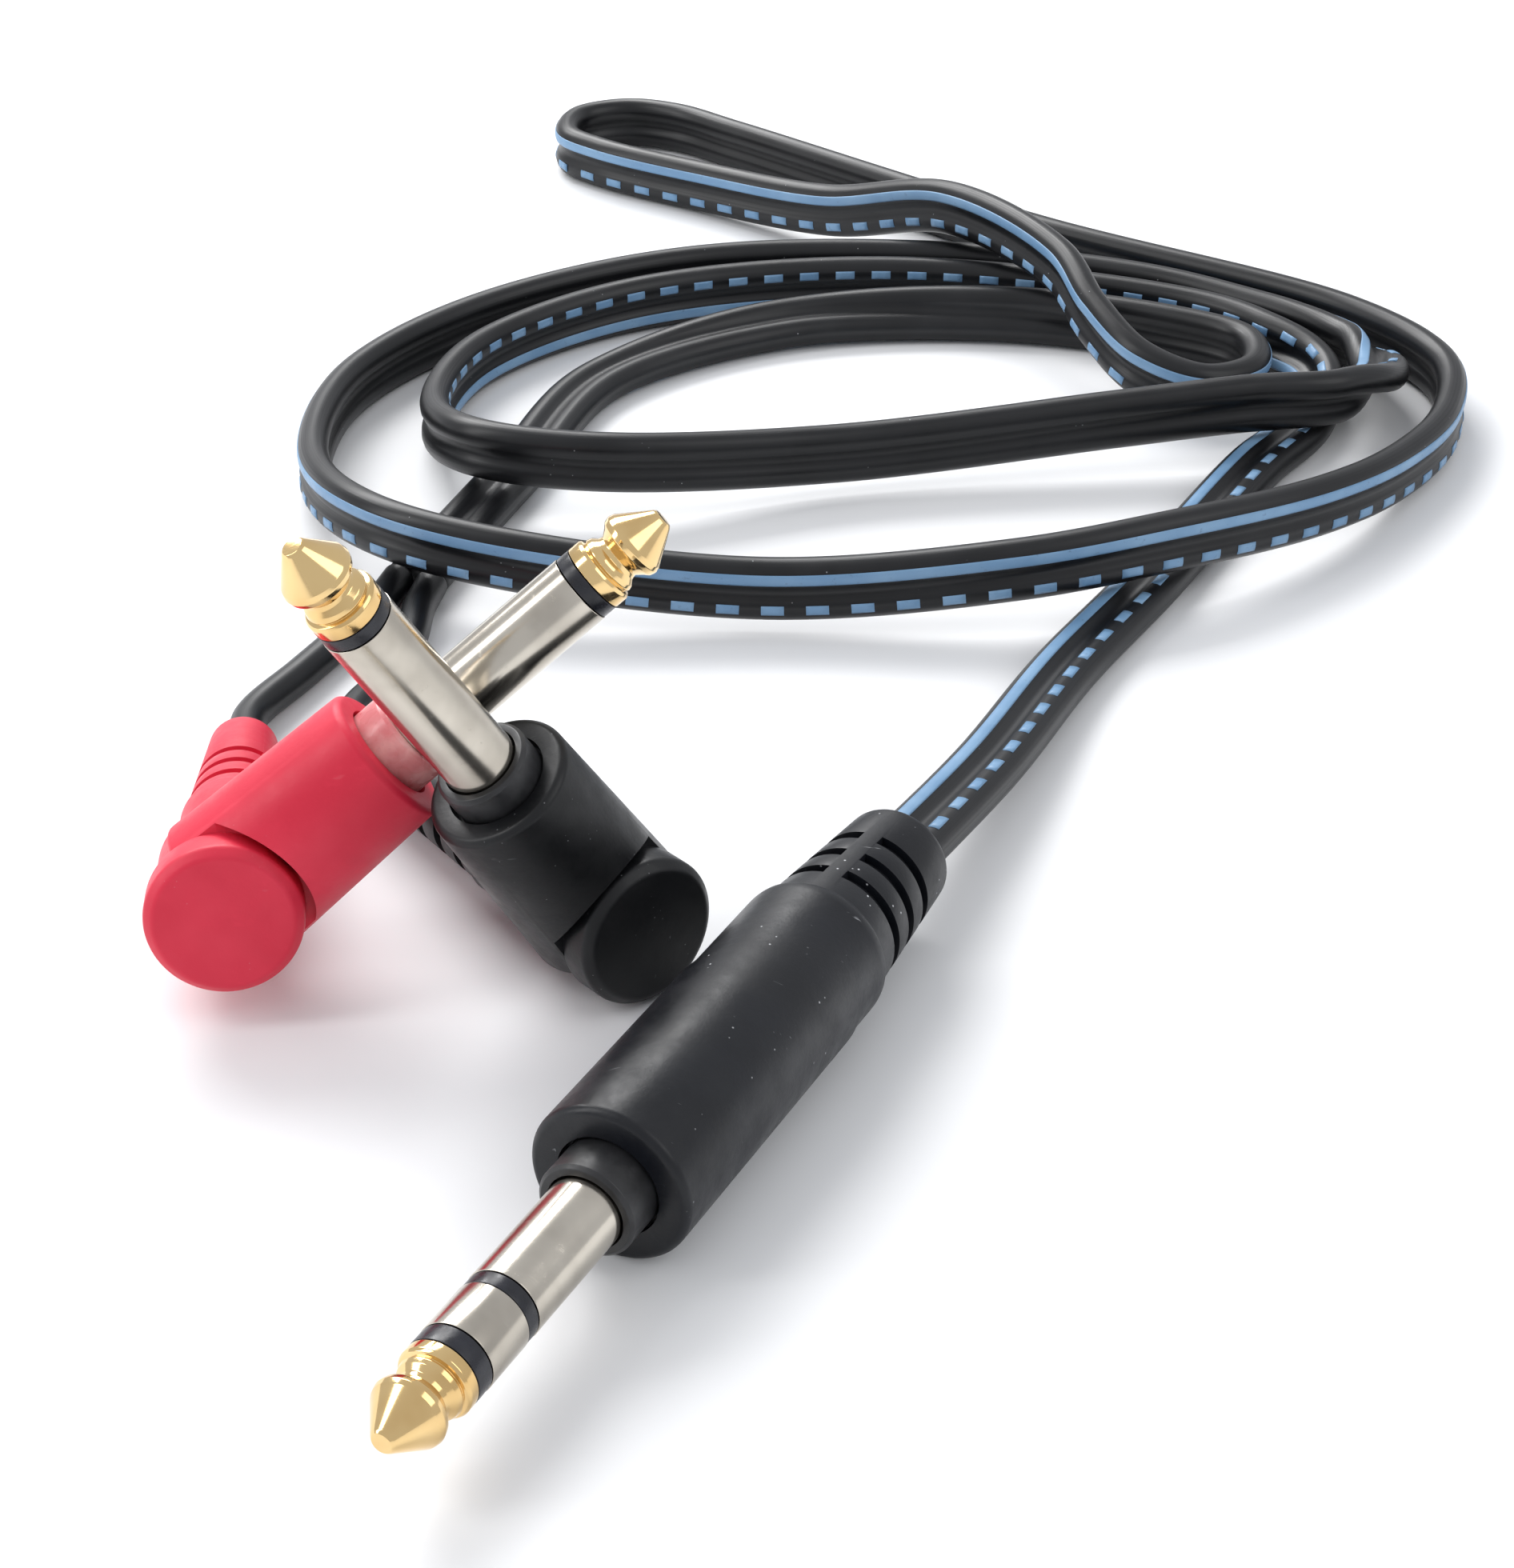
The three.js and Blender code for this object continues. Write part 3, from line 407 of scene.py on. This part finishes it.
def dash_tree():
    """Geometry Nodes: rectangular printed dashes set along one lead's crown."""
    tree = bpy.data.node_groups.new("dashes along the lead", "GeometryNodeTree")
    face = tree.interface
    face.new_socket("Geometry", in_out="INPUT", socket_type="NodeSocketGeometry")
    spacing = face.new_socket("Spacing", in_out="INPUT", socket_type="NodeSocketFloat")
    dash = face.new_socket("Dash", in_out="INPUT", socket_type="NodeSocketObject")
    ink = face.new_socket("Ink", in_out="INPUT", socket_type="NodeSocketMaterial")
    face.new_socket("Geometry", in_out="OUTPUT", socket_type="NodeSocketGeometry")
    add = tree.nodes.new
    link = tree.links.new
    entry, leave = add("NodeGroupInput"), add("NodeGroupOutput")
    curve = add("GeometryNodeMeshToCurve")
    evened = add("GeometryNodeResampleCurve")
    evened.mode = "LENGTH"
    facing = add("GeometryNodeInputNamedAttribute")
    facing.data_type = "FLOAT_VECTOR"
    facing.inputs["Name"].default_value = "facing"
    tangent = add("GeometryNodeInputTangent")
    first = add("FunctionNodeAlignRotationToVector")
    first.axis = "Y"
    second = add("FunctionNodeAlignRotationToVector")
    second.axis = "Z"
    second.pivot_axis = "Y"
    shape = add("GeometryNodeObjectInfo")
    placed = add("GeometryNodeInstanceOnPoints")
    real = add("GeometryNodeRealizeInstances")
    coat = add("GeometryNodeSetMaterial")
    link(entry.outputs["Geometry"], curve.inputs["Mesh"])
    link(curve.outputs[0], evened.inputs["Curve"])
    link(entry.outputs["Spacing"], evened.inputs["Length"])
    link(tangent.outputs[0], first.inputs["Vector"])
    link(first.outputs[0], second.inputs["Rotation"])
    link(facing.outputs["Attribute"], second.inputs["Vector"])
    link(entry.outputs["Dash"], shape.inputs["Object"])
    link(evened.outputs[0], placed.inputs["Points"])
    link(shape.outputs["Geometry"], placed.inputs["Instance"])
    link(second.outputs[0], placed.inputs["Rotation"])
    link(placed.outputs[0], real.inputs[0])
    link(real.outputs[0], coat.inputs["Geometry"])
    link(entry.outputs["Ink"], coat.inputs["Material"])
    link(coat.outputs[0], leave.inputs[0])
    return tree, {"Spacing": spacing.identifier, "Dash": dash.identifier, "Ink": ink.identifier}


def one_dash():
    """A thin curved rectangle, Y along the lead and Z up, resting on a lead's crown."""
    half, across, along = LEAD_D / 2, 5, 4
    spread = DASH_WIDTH / 2 / half
    vertices, faces = [], []
    for radius in (half + STRIPE_THICK, half - STRIPE_SUNK):
        for j in range(along):
            y = (j / (along - 1) - 0.5) * DASH_LENGTH
            for i in range(across):
                angle = math.pi / 2 + spread * (1 - 2 * i / (across - 1))
                vertices.append(Vector((math.cos(angle) * radius, y, math.sin(angle) * radius)) * MM)
    layer = across * along
    for j in range(along - 1):
        for i in range(across - 1):
            a = j * across + i
            faces.append((a, a + 1, a + across + 1, a + across))
            faces.append((layer + a, layer + a + across, layer + a + across + 1, layer + a + 1))
    rim = [i for i in range(across)] + [j * across + across - 1 for j in range(1, along)]
    rim += [(along - 1) * across + i for i in range(across - 2, -1, -1)]
    rim += [j * across for j in range(along - 2, 0, -1)]
    for a, b in zip(rim, rim[1:] + rim[:1]):
        faces.append((a, layer + a, layer + b, b))
    return mesh_object("dash", vertices, faces, [blue_ink])


def dashes(name, frames, offset):
    """The dashed stripe on the other lead, as one mesh."""
    guide = mesh_object(name, [place + wide * (offset * MM) for place, _, wide, _ in frames], [], [blue_ink])
    mesh = guide.data
    mesh.edges.add(len(frames) - 1)
    mesh.edges.foreach_set("vertices", [v for i in range(len(frames) - 1) for v in (i, i + 1)])
    facing = mesh.attributes.new("facing", "FLOAT_VECTOR", "POINT")
    facing.data.foreach_set("vector", [c for frame_row in frames for c in frame_row[3]])
    mesh.update()
    tree, sockets = dash_tree()
    pattern = one_dash()
    maker = guide.modifiers.new("dashes", "NODES")
    maker.node_group = tree
    maker[sockets["Spacing"]] = (DASH_LENGTH + DASH_GAP) * MM
    maker[sockets["Dash"]] = pattern
    maker[sockets["Ink"]] = blue_ink
    bpy.context.view_layer.update()
    made = bpy.data.meshes.new_from_object(guide.evaluated_get(bpy.context.evaluated_depsgraph_get()))
    guide.modifiers.clear()
    guide.data = made
    made.name = name
    bpy.data.objects.remove(pattern)
    if not made.materials:
        made.materials.append(blue_ink)
    return guide


def root_piece(piece, slot, *nodes):
    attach(piece, "root")
    if nodes:
        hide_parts(*nodes)
    return piece


def ring_section(radius, count=24):
    return [(math.cos(TAU * i / count) * radius, math.sin(TAU * i / count) * radius) for i in range(count)]


def lay_cable():
    frames = route_frames(TWIN_ROUTE, ROUTE_STEPS)
    twin = root_piece(swept("twin_lead", frames, figure_of_eight(), jacket), "cord_pvc", "twin_cable")
    side = (TWIN_WIDTH - LEAD_D) / 2
    solid = root_piece(ribbon("solid_stripe", frames, side, STRIPE_WIDTH), "cord_pvc")
    dashed = root_piece(dashes("dashed_stripe", frames, -side), "cord_pvc")
    round(length_of(frames), 3)
    path_of(frames)
    for name, rows in (("red", RED_LEAD_ROUTE), ("black", BLACK_LEAD_ROUTE)):
        tail = route_frames(rows, ROUTE_STEPS)
        piece = root_piece(swept(name + "_tail", tail, ring_section(LEAD_D / 2), jacket), "cord_pvc",
                           name + "_lead")
        round(length_of(tail), 3)
        path_of(tail)


# ---- plugs --------------------------------------------------------------------------------------------
SHAFT_LENGTH = 31.0
SHAFT_R = 3.175
BAND_R = 3.12
ROUND = 96


def pose_of(face, tipward, capward):
    y = Vector(tipward).normalized()
    x = y.cross(Vector(capward)).normalized()
    z = x.cross(y)
    turn = Matrix((x, y, z)).transposed().to_4x4()
    return Matrix.Translation(Vector(face)) @ turn


STEREO_POSE = pose_of((6.54, -21.69, 7.055), (-0.4647, -0.8855, 0), (0, 0, 1))
BLACK_POSE = pose_of((-3.71, 11.65, 22.8), (-0.439, -0.285, 0.852), (0.625, -0.778, 0.062))
RED_POSE = pose_of((-13.45, 19.45, 20.75), (0.76, 0.196, 0.62), (0.095, -0.98, 0.157))


def eased(outline, radius, steps=4):
    """Rounds every corner of a profile by up to the given radius."""
    if radius <= 0:
        return list(outline)
    out = [outline[0]]
    for before, corner, after in zip(outline, outline[1:], outline[2:]):
        c = Vector(corner)
        to_before, to_after = Vector(before) - c, Vector(after) - c
        reach = min(radius, to_before.length * 0.45, to_after.length * 0.45)
        a = c + to_before.normalized() * reach
        b = c + to_after.normalized() * reach
        for i in range(steps + 1):
            t = i / steps
            out.append(tuple(a * (1 - t) ** 2 + c * (2 * t * (1 - t)) + b * t ** 2))
    out.append(outline[-1])
    return out


def lathe(name, outline, pose, material, radius=0.08, closed=False, count=ROUND):
    """Turns an outline of (radius, height) points round the local Y axis and poses it."""
    profile = eased(outline, radius)
    if closed:
        profile = profile[:-1]
    vertices, uv, rings = [], [], []
    for r, y in profile:
        if r < 1e-6:
            rings.append([len(vertices)])
            vertices.append(pose @ Vector((0, y, 0)) * MM)
            uv.append((0.0, y * MM))
            continue
        ring = []
        for i in range(count):
            angle = TAU * i / count
            ring.append(len(vertices))
            vertices.append(pose @ Vector((math.cos(angle) * r, y, -math.sin(angle) * r)) * MM)
            uv.append((0.004 * i / count, y * MM))
        rings.append(ring)
    faces = []
    pairs = list(zip(rings, rings[1:])) + ([(rings[-1], rings[0])] if closed else [])
    for low, high in pairs:
        if len(low) == 1 and len(high) == 1:
            continue
        for i in range(count):
            j = (i + 1) % count
            if len(low) == 1:
                faces.append((low[0], high[j], high[i]))
            elif len(high) == 1:
                faces.append((low[i], low[j], high[0]))
            else:
                faces.append((low[i], low[j], high[j], high[i]))
    piece = mesh_object(name, vertices, faces, [material], uv=uv)
    tidy_normals(piece)
    return piece


def tidy_normals(piece):
    work = bmesh.new()
    work.from_mesh(piece.data)
    bmesh.ops.recalc_face_normals(work, faces=work.faces)
    work.to_mesh(piece.data)
    work.free()
    piece.data.set_sharp_from_angle(angle=math.radians(38))


def tip_outline(rod, back, head):
    end = SHAFT_LENGTH
    return [
        (0, back), (rod, back), (rod, head), (BAND_R, head), (BAND_R, end - 6.75),
        (2.95, end - 6.5), (2.6, end - 6.4), (2.75, end - 6.15), (2.62, end - 5.75), (2.2, end - 5.3),
        (2.1, end - 4.9), (2.55, end - 4.35), (2.95, end - 3.95), (3.08, end - 3.45), (2.95, end - 3.0),
        (1.05, end - 0.2), (0.85, end), (0, end),
    ]


def band_outline(inner, outer, back, low, high):
    return [(inner, back), (outer, back), (outer, low), (BAND_R, low), (BAND_R, high), (inner, high),
            (inner, back)]


def sleeve_outline(inner, end, flange_radius, front):
    back = front - 1.4
    return [(inner, back), (flange_radius, back), (flange_radius, front), (SHAFT_R, front),
            (SHAFT_R, end), (inner, end), (inner, back)]


def collar_outline(collar, depth):
    bore, rim, nose, neck = 4.8, 5.4, 4.2, SHAFT_R + 0.15
    return [(bore, -depth), (rim, -depth), (rim, -1.4), (nose, -1.4), (nose, collar - 0.3),
            (nose - 0.3, collar), (neck, collar), (neck, -2.0), (bore, -2.0), (bore, -depth)]


FLANGE_FRONT = -2.15
FLANGE_R = 4.5
LUG_FRONT = FLANGE_FRONT - 1.4 - 0.15
WASHER_BACK = LUG_FRONT - 0.5 - 0.15 - 1.0
LUG = 0.5


def stand_in(name, node, outline, pose, material, slot, radius=0.06, closed=False):
    piece = lathe(name, outline, pose, material, radius, closed)
    root_piece(piece, slot, node)
    return piece


def stereo_shaft():
    ring_back = WASHER_BACK - 0.15 - LUG
    tip_back = ring_back - 0.45 - LUG
    ring_tube = [(1.5, ring_back - 0.15), (1.9, ring_back - 0.15), (1.9, 16.65), (SHAFT_R, 16.65),
                 (SHAFT_R, 21.46), (1.5, 21.46), (1.5, ring_back - 0.15)]
    made = [
        stand_in("stereo_gold_tip", "stereo_tip", tip_outline(0.8, tip_back - 1, 23.36), STEREO_POSE,
                 gold_plate, "gold"),
        stand_in("stereo_tip_band", "stereo_tip_insulator",
                 band_outline(0.95, 1.35, tip_back + LUG + 0.15, 21.56, 23.26), STEREO_POSE, black_band,
                 "insulator", closed=True),
        stand_in("stereo_ring_contact", "stereo_ring", ring_tube, STEREO_POSE, nickel_plate, "nickel",
                 closed=True),
        stand_in("stereo_ring_band", "stereo_ring_insulator",
                 band_outline(2.05, 2.45, LUG_FRONT, 15.26, 16.55), STEREO_POSE, black_band, "insulator",
                 closed=True),
        stand_in("stereo_shaft", "stereo_sleeve",
                 sleeve_outline(2.6, 15.16, FLANGE_R, FLANGE_FRONT), STEREO_POSE, nickel_plate, "nickel",
                 closed=True),
        stand_in("stereo_collar", "stereo_inner_mold", collar_outline(3.44, 13), STEREO_POSE, dark_collar,
                 "dark_mould", closed=True),
    ]
    return made


def mono_shaft(name, pose, collar_material, collar_slot):
    lug_back = WASHER_BACK - 0.15 - LUG
    return [
        stand_in(name + "_gold_tip", name + "_tip", tip_outline(1.1, lug_back - 1, 23.16), pose,
                 gold_plate, "gold"),
        stand_in(name + "_tip_band", name + "_tip_insulator",
                 band_outline(1.25, 2.15, LUG_FRONT, 21.85, 23.06), pose, black_band, "insulator",
                 closed=True),
        stand_in(name + "_shaft", name + "_sleeve", sleeve_outline(2.3, 21.75, FLANGE_R, FLANGE_FRONT),
                 pose, nickel_plate, "nickel", closed=True),
        stand_in(name + "_collar", name + "_inner_mold", collar_outline(2.6, 11), pose, collar_material,
                 collar_slot, closed=True),
    ]


def solid_of(name, outline, pose, count=ROUND):
    """A plain turned solid used to build a body, before its pose."""
    return lathe(name, outline, pose, None, 0.0, count=count)


def cut_block(name, width, length, height, centre, turn=0.0):
    half = Vector((width / 2, length / 2, height / 2))
    corners = [Vector((x, y, z)) for x in (-half.x, half.x) for y in (-half.y, half.y)
               for z in (-half.z, half.z)]
    place = Matrix.Translation(Vector(centre)) @ Matrix.Rotation(turn, 4, "Z")
    faces = [(0, 1, 3, 2), (4, 6, 7, 5), (0, 4, 5, 1), (2, 3, 7, 6), (0, 2, 6, 4), (1, 5, 7, 3)]
    return mesh_object(name, [place @ corner * MM for corner in corners], faces, [], smooth=False)


def combine(base, operation, tool):
    step = base.modifiers.new(operation, "BOOLEAN")
    step.operation = operation
    step.solver = "EXACT"
    step.object = tool
    bpy.context.view_layer.update()
    mesh = bpy.data.meshes.new_from_object(base.evaluated_get(bpy.context.evaluated_depsgraph_get()))
    base.modifiers.clear()
    base.data = mesh
    bpy.data.objects.remove(tool)
    return base


def finish_body(body, pose, material, bevel, angle=30):
    """Softens a body's edges, then moves it into its place."""
    work = bmesh.new()
    work.from_mesh(body.data)
    bmesh.ops.remove_doubles(work, verts=work.verts, dist=2e-6)
    bmesh.ops.dissolve_degenerate(work, edges=work.edges, dist=2e-6)
    work.to_mesh(body.data)
    work.free()
    soft = body.modifiers.new("moulded edges", "BEVEL")
    soft.width = bevel * MM
    soft.segments = 3
    soft.limit_method = "ANGLE"
    soft.angle_limit = math.radians(angle)
    soft.harden_normals = False
    bpy.context.view_layer.update()
    mesh = bpy.data.meshes.new_from_object(body.evaluated_get(bpy.context.evaluated_depsgraph_get()))
    body.modifiers.clear()
    body.data = mesh
    scale_place = Matrix.Translation(pose.translation * MM) @ pose.to_3x3().to_4x4()
    mesh.transform(scale_place)
    mesh.materials.clear()
    mesh.materials.append(material)
    mesh.polygons.foreach_set("use_smooth", [True] * len(mesh.polygons))
    mesh.set_sharp_from_angle(angle=math.radians(40))
    mesh.update()
    return body


LOCAL = Matrix.Identity(4)
ON_ITS_SIDE = Matrix.Rotation(math.pi / 2, 4, "X")
SLOT_PITCH = 3.4
SLOT_DEPTH = 0.9
OVERRUN = 1  # how far a cutter runs past the material
EDGE_ROUND = 0.16


def slot_cutter(name, first, radius_at, pose, rows=3, slot=1.25, web=1.7):
    """Rows of slots round a strain relief, with a web left on two sides."""
    cutter = None
    for row in range(rows):
        y = first - row * SLOT_PITCH
        r = radius_at(y)
        inner, outer, low, high = r - SLOT_DEPTH, r + OVERRUN, y - slot / 2, y + slot / 2
        outline = [(inner, low), (outer, low), (outer, high), (inner, high), (inner, low)]
        ring = lathe(name, outline, LOCAL, None, 0.0, closed=True)
        cutter = ring if cutter is None else combine(cutter, "UNION", ring)
    cutter = combine(cutter, "DIFFERENCE", cut_block("web", web, 200, 80, (0, 0, 0)))
    cutter.data.transform(Matrix.Translation(pose.translation * MM) @ pose.to_3x3().to_4x4())
    return cutter


def mould_room(depth):
    """The room in a body for its inner mould and the collar that shows round the shaft."""
    wide, narrow, shoulder = 5.7, 4.5, -1.1
    return [(0, -depth), (wide, -depth), (wide, shoulder), (narrow, shoulder), (narrow, OVERRUN),
            (0, OVERRUN)]


def stereo_body():
    r, waist, length, relief, relief_r, end_r = 7.05, 6.85, 36.0, 15.8, 6.2, 5.0
    bore_width, bore_height, mould_depth, ridge_back, first_slot = 7.6, 4.1, 13.0, 25.5, 2.9
    end = -length - relief
    body = solid_of("stereo_sleeve_body", eased([
        (0, end), (end_r - 0.5, end), (end_r, end + 0.6), (relief_r, -length + 0.4),
        (waist - 0.15, -length + 0.8), (waist, -length + 1.6), (waist, -1), (0, -1)], 0.35), LOCAL)
    front = solid_of("front", eased([
        (0, 2 - length), (r, 2 - length), (r, -0.45), (r - 0.45, 0), (0, 0)], 0.3), LOCAL)
    slant = math.radians(30)
    away = Matrix.Rotation(slant, 3, "Z") @ Vector((0, -length / 2, 0))
    behind = cut_block("behind", 4 * r, length, 4 * r, Vector((0, -ridge_back, 0)) + away, slant)
    front = combine(front, "DIFFERENCE", behind)
    body = combine(body, "UNION", front)
    body = combine(body, "DIFFERENCE", solid_of("room", mould_room(mould_depth + 0.3), LOCAL))
    bore = -end - mould_depth + OVERRUN
    body = combine(body, "DIFFERENCE", cut_block(
        "bore", bore_width, bore, bore_height, (0, end - OVERRUN + bore / 2, 0)))
    slope = (relief_r - end_r) / relief
    body = combine(body, "DIFFERENCE", slot_cutter(
        "slots", -length - first_slot, lambda y: relief_r + (y + length) * slope, LOCAL))
    finish_body(body, STEREO_POSE, black_vinyl, EDGE_ROUND)
    return root_piece(body, "black_pvc", "stereo_body")


def angle_body(name, pose, material, slot):
    cap, total, depth, cap_thick, chamfer = 7.06, 41.0, 18.9, 4.2, 0.8
    head_r, head_foot_r, head_past, first_slot, mould_depth = 6.5, 7.2, 0.6, 2.6, 11.0
    pocket_r, pocket_floor, bore_r, wire_room_r, wire_room_end = 7.7, 3.4, 2.05, 3.8, 3.6
    end, neck = cap - total, -14.0
    barrel_r, cap_r, neck_r, relief_r, end_r = 6.2, 6.81, 4.9, 4.6, 3.3
    to_barrel = Matrix.Translation(Vector((0, -depth, 0))) @ ON_ITS_SIDE
    outline = eased([
        (0, end), (end_r - 0.4, end), (end_r, end + 0.5), (relief_r, neck - 0.4), (neck_r, neck),
        (neck_r, -6.2), (barrel_r, -4.5), (barrel_r, cap - cap_thick), (cap_r, cap - cap_thick + 0.4),
        (cap_r, cap - chamfer), (cap_r - chamfer, cap), (0, cap)], 0.3)
    barrel = solid_of(name + "_sleeve_body", outline, to_barrel)
    foot = -depth - head_past
    head = solid_of("head", eased([
        (0, foot), (head_foot_r - 0.5, foot), (head_foot_r, foot + 0.5), (head_r, -0.45),
        (head_r - 0.45, 0), (0, 0)], 0.25), LOCAL)
    head = combine(head, "DIFFERENCE", solid_of("pocket", [
        (0, pocket_floor), (pocket_r, pocket_floor), (pocket_r, 2 * cap), (0, 2 * cap)], to_barrel))
    body = combine(barrel, "UNION", head)
    body = combine(body, "DIFFERENCE", solid_of("room", mould_room(mould_depth + 0.3), LOCAL))
    body = combine(body, "DIFFERENCE", solid_of("bore", [
        (0, end - OVERRUN), (bore_r, end - OVERRUN), (bore_r, wire_room_end), (0, wire_room_end)],
        to_barrel))
    body = combine(body, "DIFFERENCE", solid_of("drop", [
        (0, -depth), (wire_room_r, -depth), (wire_room_r, -mould_depth), (0, -mould_depth)], LOCAL))
    slope = (relief_r - end_r) / (total - cap + neck)
    body = combine(body, "DIFFERENCE", slot_cutter(
        "slots", neck - first_slot, lambda y: relief_r + (y - neck) * slope, to_barrel))
    finish_body(body, pose, material, EDGE_ROUND)
    return root_piece(body, slot, name + "_body")


def hidden_parts():
    """The lugs, washers and stripped wires inside the plugs keep their CAD shape."""
    finishes = (("_sleeve_lug", nickel_plate), ("_ring_lug", nickel_plate), ("_tip_lug", gold_plate),
                ("_rear_insulator", black_band), ("_core", white_sheath), ("_conductor", bare_copper),
                ("_shield", bare_copper))
    for node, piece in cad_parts.items():
        for ending, material in finishes:
            if node.endswith(ending):
                piece.data.materials.clear()
                piece.data.materials.append(material)


PLUG_PARTS = {
    "red": mono_shaft("red", RED_POSE, pink_collar, "red_mould")
    + [angle_body("red", RED_POSE, red_vinyl, "red_pvc")],
    "black": mono_shaft("black", BLACK_POSE, dark_collar, "dark_mould")
    + [angle_body("black", BLACK_POSE, black_plain_vinyl, "black_pvc")],
}
stereo_shaft()
stereo_body()
hidden_parts()
lay_cable()


# ---- table top and light --------------------------------------------------------------------------------
def table_top():
    mesh = bpy.data.meshes.new("table")
    size = 6.0
    corners = [(-size, -size, 0), (size, -size, 0), (size, size, 0), (-size, size, 0)]
    mesh.from_pydata(corners, [], [(0, 1, 2, 3)])
    table = bpy.data.objects.new("table", mesh)
    bpy.context.scene.collection.objects.link(table)
    f = Finish("white table", Specular_IOR_Level=0.2)
    grain = f.noise(60, 2)
    mesh.materials.append(f.set(Base_Color=f.mix(grain, (0.86, 0.865, 0.875, 1), (0.89, 0.893, 0.90, 1)),
                                Roughness=0.6 + grain * 0.1))


def lamp(name, place, target, size, power, colour=(1, 1, 1)):
    light = bpy.data.lights.new(name, "AREA")
    light.shape = "RECTANGLE"
    light.size, light.size_y = size
    light.energy = power
    light.color = colour
    holder = bpy.data.objects.new(name, light)
    holder.location = place
    holder.rotation_euler = (Vector(target) - Vector(place)).to_track_quat("-Z", "Y").to_euler()
    bpy.context.scene.collection.objects.link(holder)


def studio_light():
    world = bpy.data.worlds.new("studio")
    world.use_nodes = True
    world.node_tree.nodes["Background"].inputs["Color"].default_value = (0.94, 0.96, 1.0, 1)
    world.node_tree.nodes["Background"].inputs["Strength"].default_value = 0.70
    bpy.context.scene.world = world
    target = (0.02, 0.05, 0)
    lamp("window", (-0.35, 0.85, 0.75), target, (0.9, 0.5), 13.0)
    lamp("fill", (0.9, -0.3, 0.9), target, (0.8, 0.8), 3.0)
    lamp("left strip", (-0.8, -0.1, 0.6), target, (0.25, 0.9), 3.5)


table_top()
studio_light()
bpy.context.scene.view_settings.view_transform = "Standard"
